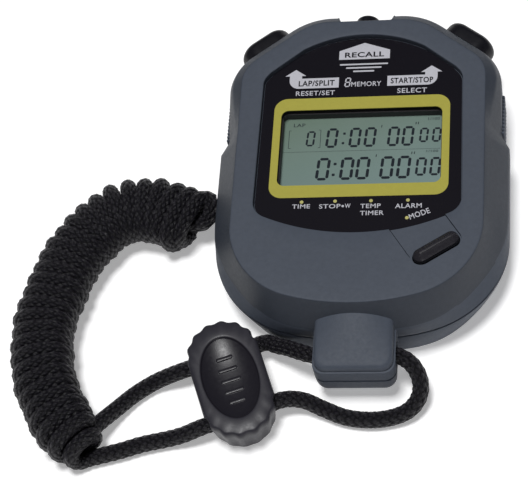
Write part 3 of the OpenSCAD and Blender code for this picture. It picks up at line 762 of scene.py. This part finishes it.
def rear_shell():
    """Skin from the inside over the parting edge and the wall to the back."""
    top = PARTING_Z - LIP
    low_tuck = 1.5 * TUCK
    inner = reach_of(case_plan(2), ANGLES) - 1.6 * TUCK
    rings = [at(inner, 2), at(inner, top), at(CASE_R - 0.32, top), at(CASE_R - 0.12, top - 0.08)]
    low = CASE_R - low_tuck
    foot = at(low - 0.5, 2.4)
    rings += [at(CASE_R - 0.05, top - 0.3), at(CASE_R - 0.2 - 0.5 * low_tuck, 5), foot]
    rings += rounded(foot, at(low - 0.8, 0), at(low - 3, 0), 7)[1:]
    rings += [at(CASE_R * 0.6, 0)]
    cover = prism(round_rect(25.4, 26.8, 3.2, y=-13.2), -1, 1.8)
    wells = [prism(arc(middle, 2.2, 0, 350, 35), -1, 1.5) for middle in CASE_SCREWS]
    slots = [prism(oblong(1.0, 9) + (3 * i, 24), -1, 1) for i in (-2, -1, 0, 1, 2)]
    body = cut(loft(rings), [cover, *wells, *slots])
    lug = cut(lug_lower(), [bore_cutter()])
    whole = join([body, lug, *grip_ribs(5.4, PARTING_Z - 0.3)])
    place(whole, "rear_shell_skin", "shell", replaces=["rear_shell"], smooth=30)


# ---------- Buttons ----------

def capped(size, profile):
    """A rounded cap of that length and width, from (inset, height) pairs."""
    return loft([ring3(oblong(size[0] - 2 * d, size[1] - 2 * d, 16), z) for d, z in profile])


def round_stem(r, z0, z1):
    return prism(arc((0, 0), r, 0, 350, 35), z0, z1)


def side_button(side, name, body, node):
    """Oval cap with a crowned face, on its stem."""
    profile = [(0, -0.5), (0, 1.9), (0.06, 2.3), (0.22, 2.75), (0.5, 3.15), (0.9, 3.5), (1.45, 3.78),
        (2.2, 4.0), (3.1, 4.14), (4.0, 4.2)]
    shape = join([capped(SIDE_CAP, profile), round_stem(2.1, *STEM_SPAN)])
    place(moved(shape, seat(side)), name, "button", body, replaces=[node], smooth=40)


def recall_button():
    """Small upright cap in the gap between the two ridges, on its stem."""
    profile = [(0, -0.5), (0, 1.2), (0.08, 1.5), (0.3, 1.7), (0.8, 1.83), (1.6, 1.89), (2.5, 1.9)]
    shape = join([capped(RECALL_CAP, profile), round_stem(1.8, *STEM_SPAN)])
    place(moved(shape, seat(0)), "recall_button_cap", "button", "recall",
        replaces=["recall_button"], smooth=40)


def mode_button():
    """Slim pill with a roof-like ridge along its top and a flange under the front face."""
    top = CASE_H + MODE_PROUD
    profile = [(0, CEILING_Z - 0.1), (0, CASE_H + 0.2), (0.06, CASE_H + 0.4), (0.25, CASE_H + 0.6),
        (1.0, top - 0.42), (1.22, top - 0.3), (1.34, top - 0.1), (1.44, top - 0.02), (1.6, top)]
    flange = prism(oblong(MODE_SIZE[0] + 1.6, MODE_SIZE[1] + 1.6), CEILING_Z - 0.9, CEILING_Z - 0.1)
    shape = join([capped(MODE_SIZE, profile), flange, round_stem(1.2, 13.5, CEILING_Z - 0.5)])
    place(moved(shape, at_mode()), "mode_button_cap", "key", "mode",
        replaces=["mode_button"], smooth=24)


def dome():
    """The rubber dome under the mode button, with a mesh of its own; on the real watch it flattens as the
    button goes down.
    """
    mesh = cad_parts["mode_dome"].data.copy()
    mesh.transform(Matrix.Scale(1 / MM, 4))
    piece = place(mesh, "mode_dome_rubber", "rubber", replaces=["mode_dome"])
    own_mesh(piece)


# ---------- Display and legends ----------

def flat(polygons, z):
    """Polygons as one thin layer of ink on the surface at height z."""
    return join([prism(p, z, z + INK) for p in polygons])


# Ends of the six outer bars of a seven-segment figure in its unit box
OUTER_BARS = (((0, 1), (1, 1)), ((1, 1), (1, 0.5)), ((1, 0.5), (1, 0)), ((1, 0), (0, 0)), ((0, 0), (0, 0.5)),
    ((0, 0.5), (0, 1)))


def segment(p, q, stroke, gap):
    """Bar with pointed ends from p to q."""
    p, q = np.array(p, float), np.array(q, float)
    u = (q - p) / norm(q - p)
    v = np.array([-u[1], u[0]]) * stroke / 2
    a, b = p + u * gap, q - u * gap
    k = u * stroke * 0.42
    return np.array([a, a + k - v, b - k - v, b, b - k + v, a + k + v])


def zero(x, y, w, h, stroke=0.62, slant=0.085):
    """A seven-segment 0 whose lower left corner is at (x, y)."""
    made = []
    for p, q in OUTER_BARS:
        ends = [(x + e[0] * w + e[1] * h * slant, y + e[1] * h) for e in (p, q)]
        made.append(segment(*ends, stroke, stroke * 0.2))
    return made


def digits():
    """Two rows reading 0:00'00"00, and a small bracketed 0 before the upper row."""
    bars = zero(-13.0, 11.1, 1.55, 3.75, 0.46)
    for x in (-8.3, -2.9, 0.62, 6.05, 9.4):
        bars += zero(x, 10.6, 2.05, 4.8)
    for x in (13.4, 16.35):
        bars += zero(x, 11.4, 1.55, 3.5, 0.5)
    for x in (-10.2, -4.65, -0.95, 4.6, 8.45):
        bars += zero(x, 1.75, 2.4, 5.45, 0.7)
    for x in (12.75, 16.0):
        bars += zero(x, 2.3, 1.85, 4.4, 0.58)
    for x, y, r in ((-4.2, 14.15, 0.3), (-4.45, 11.5, 0.3), (-6.0, 5.8, 0.34), (-6.3, 2.85, 0.34)):
        bars.append(round_rect(2 * r, 2 * r, 0.15, y, x, 4))
    return bars


def marks():
    """Ticks, brackets and the dotted line between the rows, which are fainter."""
    made = []
    for x, y in ((4.4, 15.9), (12.35, 16.5), (12.9, 16.5), (3.4, 7.8), (11.6, 8.3), (12.2, 8.3)):
        made.append(np.array([(-0.1, -0.35), (0.12, -0.35), (0.2, 0.35), (-0.02, 0.35)]) + (x, y))
    for x, sign in ((-17.2, 1), (-9.78, -1)):
        made.append(round_rect(0.13, 5.0, 0.06, 12.9, x, 3))
        for y in (10.46, 15.34):
            made.append(round_rect(0.55, 0.12, 0.05, y, x + sign * 0.25, 3))
    x = -18.3
    while x < 18.3:
        made.append(round_rect(0.17, 0.15, 0.05, 9.35, x, 2))
        x += 0.3
    return made


def text_mesh(words, x0, y0, x1, y1, turn=0.0, bold=0.012):
    """Capitals stretched into a box from (x0, y0) to (x1, y1), turned about its lower left corner."""
    curve = bpy.data.curves.new("words", "FONT")
    curve.body = words
    curve.space_character = 1.08
    curve.resolution_u = 3
    curve.offset = bold
    holder = add_object("words", curve)
    bpy.context.view_layer.update()
    mesh = bpy.data.meshes.new_from_object(holder.evaluated_get(bpy.context.evaluated_depsgraph_get()))
    bpy.data.objects.remove(holder)
    co = np.array([v.co[:2] for v in mesh.vertices])
    low, high = co.min(0), co.max(0)
    size = Matrix.Diagonal(((x1 - x0) / (high[0] - low[0]), (y1 - y0) / (high[1] - low[1]), 1, 1))
    mesh.transform(shift(x0, y0, 0) @ spin(turn, "Z") @ size @
        shift(-low[0], -low[1], 0))
    return mesh


def raised(meshes, z):
    return moved(join(meshes), shift(0, 0, z))


def arrow_tag(side):
    """Bar with a bent arrow that points up at its outer end."""
    tip = [(-5.7, 27.75), (-14.5, 27.75), (-14.5, 28.5), (-13.5, 28.5), (-16.0, 30.3), (-18.5, 28.5),
        (-17.4, 28.5)]
    bend = arc((-15.1, 27.2), 2.3, 180, 270, 10)
    return np.concatenate([tip, bend, [(-5.7, 24.9)]]) * (side, 1)


def legends():
    """White tags, lines and words, black words on the tags, and the dots of the mode row."""
    tag = np.array([(0, 37.5), (-5.95, 35.3), (-5.95, 32.8), (6.05, 32.8), (6.05, 35.3)])
    shapes = [tag, arrow_tag(1), arrow_tag(-1)]
    shapes += [round_rect(w, 0.42, 0.2, y, 0, 4) for w, y in ((11.4, 31.35), (8.4, 30.35), (5.0, 29.35))]
    shapes += zero(-4.25, 25.1, 1.05, 2.35, 0.3, 0.12)
    shapes += [segment((-4.1, 26.27), (-3.05, 26.27), 0.3, 0.07), arc((-3.2, -7.75), 0.3, 0, 330, 11)]
    white = [("MEMORY", -2.75, 25.0, 4.3, 26.35), ("RESET/SET", -15.7, 22.85, -6.5, 24.15),
        ("SELECT", 8.1, 22.75, 15.0, 24.1), ("TIME", -14.75, -8.15, -10.65, -7.05),
        ("STOP", -8.6, -8.3, -3.7, -7.15), ("W", -2.7, -8.3, -1.45, -7.15), ("TEMP", 0.8, -8.45, 5.4, -7.3),
        ("TIMER", 0.8, -10.3, 6.15, -9.15), ("ALARM", 8.65, -8.65, 14.65, -7.45),
        ("MODE", 12.2, -11.75, 17.0, -10.3, 21)]
    words = raised([text_mesh(*w) for w in white], PRINT_Z + INK)
    place(join([flat(shapes, PRINT_Z), words]), "legends_white", "white")
    black = [("RECALL", -4.6, 33.35, 4.7, 34.85), ("LAP/SPLIT", -15.2, 25.5, -6.7, 27.1),
        ("START/STOP", 6.5, 25.5, 16.4, 27.1)]
    words = raised([text_mesh(*w, bold=0.025) for w in black], PRINT_Z + 2 * INK)
    place(words, "legends_black", "print")
    spots = [(-12.65, -6.45), (-5.0, -6.4), (3.15, -6.5), (11.5, -6.55), (11.4, -11.2)]
    dots = [arc(p, 0.42, 0, 345, 23) for p in spots]
    place(flat(dots, PRINT_Z), "legend_dots", "dot")


def lens():
    """Clear cover with a softly broken upper edge, in its pocket over the film."""
    profile = ((0.2, PRINT_Z + 0.05), (0.15, PRINT_Z + 0.1), (0.15, LENS_TOP - 0.25), (0.22, LENS_TOP - 0.08),
        (0.4, LENS_TOP))
    rings = [ring3(lens_plan(d), z) for d, z in profile]
    place(loft(rings), "lens_clear", "lens", replaces=["lens"], smooth=20)


def display():
    """The figures, clipped at the window's right edge, and the small marks round them."""
    right_edge = WINDOW[0] / 2 - 0.4
    kept = [np.clip(p, (-50, -50), (right_edge, 50)) for p in digits()]
    place(flat(kept, LCD_Z), "display_digits", "segment")
    small = [text_mesh("LAP", -16.25, 16.35, -13.5, 17.3), text_mesh("1/100", 15.2, 17.25, 17.9, 18.0),
        text_mesh("1/100", 15.0, 8.35, 17.7, 9.0)]
    shape = join([flat(marks(), LCD_Z), raised(small, LCD_Z + INK)])
    place(shape, "display_marks", "segment_faint")


# ---------- Cord ----------

def smooth_path(points, step):
    """Catmull-Rom curve through the points, resampled at an even step."""
    p = np.asarray(points, float)
    p = np.concatenate([[2 * p[0] - p[1]], p, [2 * p[-1] - p[-2]]])
    t = np.linspace(0, 1, 12, endpoint=False)[:, None]
    parts = []
    for a, b, c, d in zip(p[:-3], p[1:-2], p[2:-1], p[3:]):
        bend, twist = 2 * a - 5 * b + 4 * c - d, 3 * b - a - 3 * c + d
        parts.append(0.5 * (2 * b + (c - a) * t + bend * t ** 2 + twist * t ** 3))
    return even(np.concatenate([*parts, p[-2:-1]]), step)


def even(points, step):
    """The same line with its points about a step apart."""
    s = distances(points)
    where = np.linspace(0, s[-1], int(s[-1] / step) + 1)
    return np.column_stack([np.interp(where, s, points[:, k]) for k in range(points.shape[1])])


HANK_LINE = smooth_path(HANK_ROUTE, HANK_STEP)
HANK_LEN = HANK_STEP * (len(HANK_LINE) - 1)


def hank_point(s, across, z):
    """Points in the hank, s along it and across to its outer side."""
    s = np.atleast_1d(s)
    last = len(HANK_LINE) - 1
    i = np.clip(s / HANK_STEP, 0, last - 1e-6)
    k = i.astype(int)
    base = HANK_LINE[k] + (i - k)[:, None] * (HANK_LINE[k + 1] - HANK_LINE[k])
    ahead = HANK_LINE[np.minimum(k + 6, last)] - HANK_LINE[np.maximum(k - 6, 0)]
    ahead /= norm(ahead, axis=1, keepdims=True)
    base = base + ahead * (s - np.clip(s, 0, HANK_LEN))[:, None]
    normal = np.column_stack([-ahead[:, 1], ahead[:, 0]])
    across, z = (np.broadcast_to(v, s.shape) for v in (across, z))
    return np.column_stack([base + normal * across[:, None], z])


def superellipse(phi, wide, tall):
    """Point on a rounded box section; the exponent squares it a little."""
    c, v = np.cos(phi), np.sin(phi)
    return wide * np.sign(c) * np.abs(c) ** 0.85, tall * np.sign(v) * np.abs(v) ** 0.85


def winding():
    """Close turns of the cord round its own core: straight over the top, stepping on underneath."""
    turns = int((HANK_LEN + 4) / TURN_PITCH)
    u = np.linspace(0, turns, turns * TURN_POINTS + 1)
    phi = 2 * math.pi * u - math.pi / 2
    whole = np.floor(u + 0.5)
    t = u + 0.5 - whole
    step = np.clip((t - 0.2) / 0.6, 0, 1)
    s = TURN_PITCH * (whole + 0.3 * t + 0.7 * step * step * (3 - 2 * step) - 0.5)
    start, tuck = np.clip(u / 1.8, 0, 1), np.clip((u - (turns - 0.6)) / 0.6, 0, 1)
    wobble = 0.16 * np.sin(u * 2.3) + 0.14 * np.sin(u * 5.1 + 1)
    size = (0.5 + 0.5 * start) * (1 - 0.6 * tuck)
    wide = (HANK_HALF[0] * (1 + 0.1 * (u / turns) ** 2 + 0.12 * (u / turns) ** 6) + wobble) * size
    tall = HANK_HALF[1] * size
    across, up = superellipse(phi, wide, tall)
    across = across - 1.1 * (u / turns) ** 6
    return hank_point(s + 0.5 * wobble * np.sin(phi * 0.5) - 2.5 * tuck, across, CORD_R + tall + up)


def core():
    """Doubled strand through the hank; its fold shows past the hank's upper end."""
    up = hank_point(np.arange(5, HANK_LEN, 4.0), -1.75, HANK_Z)
    a = np.radians(np.linspace(-90, 90, 9))
    fold = hank_point(HANK_LEN + 3.4 + 2.4 * np.cos(a), 2.6 + 2.9 * np.sin(a), HANK_Z + 1.2 + 1.2 * np.sin(a))
    down = hank_point(np.arange(HANK_LEN - 3, HANK_LEN - 30, -4.0), 1.75, HANK_Z)
    return np.concatenate([up, fold, down])


def braid_height(s, v):
    """Relief of the braid, from 0 to 1, at s along the cord and v round it."""
    a, b = BRAID_CELLS * v + s / BRAID_LAY, BRAID_CELLS * v - s / BRAID_LAY
    fa, fb = a % 1, b % 1
    over = (np.floor(a) + np.floor(b)) % 2
    across, onward = np.where(over > 0.5, fb, fa), np.where(over > 0.5, fa, fb)
    return np.sin(math.pi * across) ** 0.7 * (0.55 + 0.45 * np.sin(math.pi * onward))


def cord_tube(path, sides=16):
    """Tube along the path, with the braid's relief and a map of its length and circumference."""
    n = len(path)
    tangent = np.gradient(path, axis=0)
    tangent /= norm(tangent, axis=1, keepdims=True)
    normal = np.zeros_like(path)
    first = np.cross(tangent[0], (0.02, 0.03, 1))
    normal[0] = first / norm(first)
    for i in range(1, n):
        v = normal[i - 1] - tangent[i] * (normal[i - 1] @ tangent[i])
        normal[i] = v / norm(v)
    other = np.cross(tangent, normal)
    s = distances(path)
    v = np.arange(sides) / sides
    r = CORD_R - 0.22 + 0.24 * braid_height(s[:, None], v[None, :])
    angle = 2 * math.pi * v[None, :]
    rings = path[:, None, :] + (r * np.cos(angle))[:, :, None] * normal[:, None, :] + \
        (r * np.sin(angle))[:, :, None] * other[:, None, :]
    cells = [(i, k) for i in range(n - 1) for k in range(sides)]
    faces = [(i * sides + k, i * sides + (k + 1) % sides, (i + 1) * sides + (k + 1) % sides,
        (i + 1) * sides + k) for i, k in cells]
    caps = [tuple(range(sides))[::-1], tuple(range((n - 1) * sides, n * sides))]
    mesh = bpy.data.meshes.new("cord")
    mesh.from_pydata(rings.reshape(-1, 3).tolist(), [], faces + caps)
    uv = np.zeros((len(mesh.loops), 2), np.float32)
    for f, (i, k) in enumerate(cells):
        (u0, u1), (v0, v1) = (s[i] / UV_SPAN, s[i + 1] / UV_SPAN), (k / sides, (k + 1) / sides)
        uv[4 * f:4 * f + 4] = ((u0, v0), (u0, v1), (u1, v1), (u1, v0))
    mesh.uv_layers.new(name="along").data.foreach_set("uv", uv.ravel())
    return mesh


def make_cord(name, points, replaces):
    """One leg of the cord from the lug to its end; it returns the leg's real length."""
    path = smooth_path(points, CORD_STEP)
    piece = place(cord_tube(path), name, "cord", replaces=replaces, smooth=180)
    length = norm(np.diff(path, axis=0), axis=1).sum() * MM
    return length


def even_loop(points, n):
    """A closed outline resampled to n evenly spaced points."""
    p = np.concatenate([points, points[:1]])
    d = distances(p)
    where = np.linspace(0, d[-1], n, endpoint=False)
    return np.column_stack([np.interp(where, d, p[:, k]) for k in (0, 1)])


def dish_z(k):
    """Height of the slider's dish at share k of the way to its edge."""
    return 6.7 + 1.65 * k ** 2.4


def slider_bores():
    mouth = ((-12, 3.2), (-8.2, 2.95), (-7.4, 2.6), (7.4, 2.6), (8.2, 2.95), (12, 3.2))
    return [moved(loft([ring3(arc((0, 0), r, 0, 350, 35), x) for x, r in mouth]),
        shift(0, y, SLIDER_BORE_Z) @ spin(90, "Y")) for y in (-SLIDER_PITCH / 2, SLIDER_PITCH / 2)]


def tread():
    """Five plain bars across the dish."""
    bars = []
    for y in (-5.6, -2.8, 0, 2.8, 5.6):
        reach, height = 2.3 - 0.012 * y * y, dish_z(math.hypot(y / (DISH[1] - 0.1), 0.2))
        bars.append(loft([ring3(round_rect(2 * (reach - d), 0.85 - 2 * d, 0.38 - d, y), height + z)
            for d, z in ((0, -0.5), (0, 0.12), (0.1, 0.24), (0.25, 0.28))]))
    return bars


def slider():
    """Moulded cord slider: scalloped round its ends, with a dished oval and a tread of plain bars."""
    w, length = SLIDER_SIZE
    base = even_loop(oblong(w, length, 60), 252)
    straight = (length - w) / 2
    theta = np.arctan2(np.maximum(np.abs(base[:, 1]) - straight, 0), base[:, 0])
    notch = np.where(np.abs(base[:, 1]) > straight, 0.24 * (1 - np.cos(14 * theta)), 0)
    profile = [(2.2, 0, 0), (1.3, 0.25, 0.3), (0.9, 1.2, 0.7), (0.6, 3, 0.9), (0.3, 5, 1), (0.05, 6.6, 1),
        (0, 7.5, 1), (0.1, 8.0, 1), (0.35, 8.35, 0.8), (0.8, 8.55, 0.45)]
    rings = [ring3(inset(base, d + notch * k), z) for d, z, k in profile]
    angle = np.unwrap(np.arctan2(base[:, 1] / DISH[1], base[:, 0] / DISH[0]))
    dish = np.column_stack([np.cos(angle) * (DISH[0] - 0.1), np.sin(angle) * (DISH[1] - 0.1)])
    rings += [ring3(dish * 1.05, 8.68), ring3(dish * 1.01, 8.62), ring3(dish * 0.985, 8.45)]
    rings += [ring3(dish * k, dish_z(k)) for k in (0.97, 0.93, 0.87, 0.78, 0.66, 0.52, 0.38, 0.24, 0.1)]
    turn = shift(*SLIDER_C, 0) @ spin(SLIDER_A, "Z")
    shape = moved(join([cut(loft(rings), slider_bores()), *tread()]), turn)
    piece = place(shape, "cord_slider_shape", "slider", "slider",
        replaces=["cord_slider"], smooth=34)
    # The dish's darker colour is painted shade in the recess; its lower roughness is a glossier finish.
    piece.data.materials.append(M["dish"])
    back = turn.inverted()
    for face in piece.data.polygons:
        p = back @ (face.center / MM)
        if p.z > 6.6 and math.hypot(p.x / DISH[0], p.y / DISH[1]) < 1:
            face.material_index = 1
    return piece


# ---------- Carried-over CAD nodes ----------

DRESS = {
    "seal": ["case_seal"], "print": ["face_print"], "yellow": ["window_frame"], "holder": ["lcd_holder"],
    "lcd": ["lcd_front_glass", "lcd_rear_glass"], "reflector": ["lcd_reflector"],
    "rubber": ["zebra_strips"], "board": ["circuit_board"], "resin": ["chip_blob"],
    "ceramic": ["board_parts", "piezo_ceramic"], "cover": ["battery_cover"], "foam": ["battery_pad"],
    "brass": ["side_contacts", "piezo_disc", "battery_clip", "battery_spring"],
    "steel": ["case_screws", "board_screws", "quartz_crystal", "start_stop_clip", "lap_reset_clip",
        "recall_clip", "buzzer_springs", "battery", "battery_screw"],
}


def dress():
    """Materials for the CAD nodes that stay, and soft edges on the battery cover and the screws."""
    for material, node in ((m, node) for m, nodes in DRESS.items() for node in nodes):
        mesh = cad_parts[node].data
        mesh.materials.clear()
        mesh.materials.append(M[material])
    for node, width in (("battery_cover", 0.25), ("case_screws", 0.08), ("battery_screw", 0.08)):
        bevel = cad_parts[node].modifiers.new("edge", "BEVEL")
        bevel.width, bevel.segments = width * MM, 3
        bevel.limit_method, bevel.angle_limit = "ANGLE", math.radians(40)


# ---------- Floor and light ----------

def stage():
    floor_mesh = to_mesh([(-1.5, -1.5, 0), (1.5, -1.5, 0), (1.5, 1.5, 0), (-1.5, 1.5, 0)], [(0, 1, 2, 3)])
    floor = add_object("floor", floor_mesh)
    s = Shader("pale_floor", (0.93, 0.93, 0.93), 0.9, Specular_IOR_Level=0.1, Emission_Strength=0.32)
    s.drive("Emission Color", (1, 1, 1, 1))
    s.drive("Base Color", s.blend(s.noise(12, 2), (0.92, 0.92, 0.92), (0.94, 0.94, 0.94)))
    floor_mesh.materials.append(s.material)


def lights():
    world = bpy.data.worlds.new("studio")
    scene.world = world
    world.use_nodes = True
    sky = world.node_tree.nodes["Background"]
    sky.inputs["Color"].default_value = (0.93, 0.92, 1.0, 1)
    sky.inputs["Strength"].default_value = 0.045

    def sun(name, energy, where, angle, color=(1, 1, 1)):
        data = bpy.data.lights.new(name, "SUN")
        data.energy, data.color, data.angle = energy, color, math.radians(angle)
        made = add_object(name, data)
        made.location = where
        aim = Vector(where) - Vector((0, 0, 0.01))
        made.rotation_euler = aim.to_track_quat("Z", "Y").to_euler()

    sun("overhead", 2.5, (-0.08, 0.02, 1.0), 18)
    sun("front_right", 0.25, (0.45, -0.85, 0.5), 30, (0.97, 0.96, 1))


# ---------- Putting it together ----------

scene.view_settings.view_transform = "Standard"
slider_piece = slider()
left = np.concatenate([LEFT_ROUTE, core()])
right = np.concatenate([RIGHT_ROUTE, winding()])
left_length = make_cord("cord_left", left, ["lanyard_left"])
right_length = make_cord("cord_right", right, ["lanyard_right", "lanyard_hank"])
print("cord lengths in metres:", round(left_length, 3), round(right_length, 3))
front_shell()
rear_shell()
side_button(1, "start_stop_cap", "start_stop", "start_stop_button")
side_button(-1, "lap_reset_cap", "lap_reset", "lap_reset_button")
recall_button()
mode_button()
lens()
legends()
display()
dome()
dress()
stage()
lights()
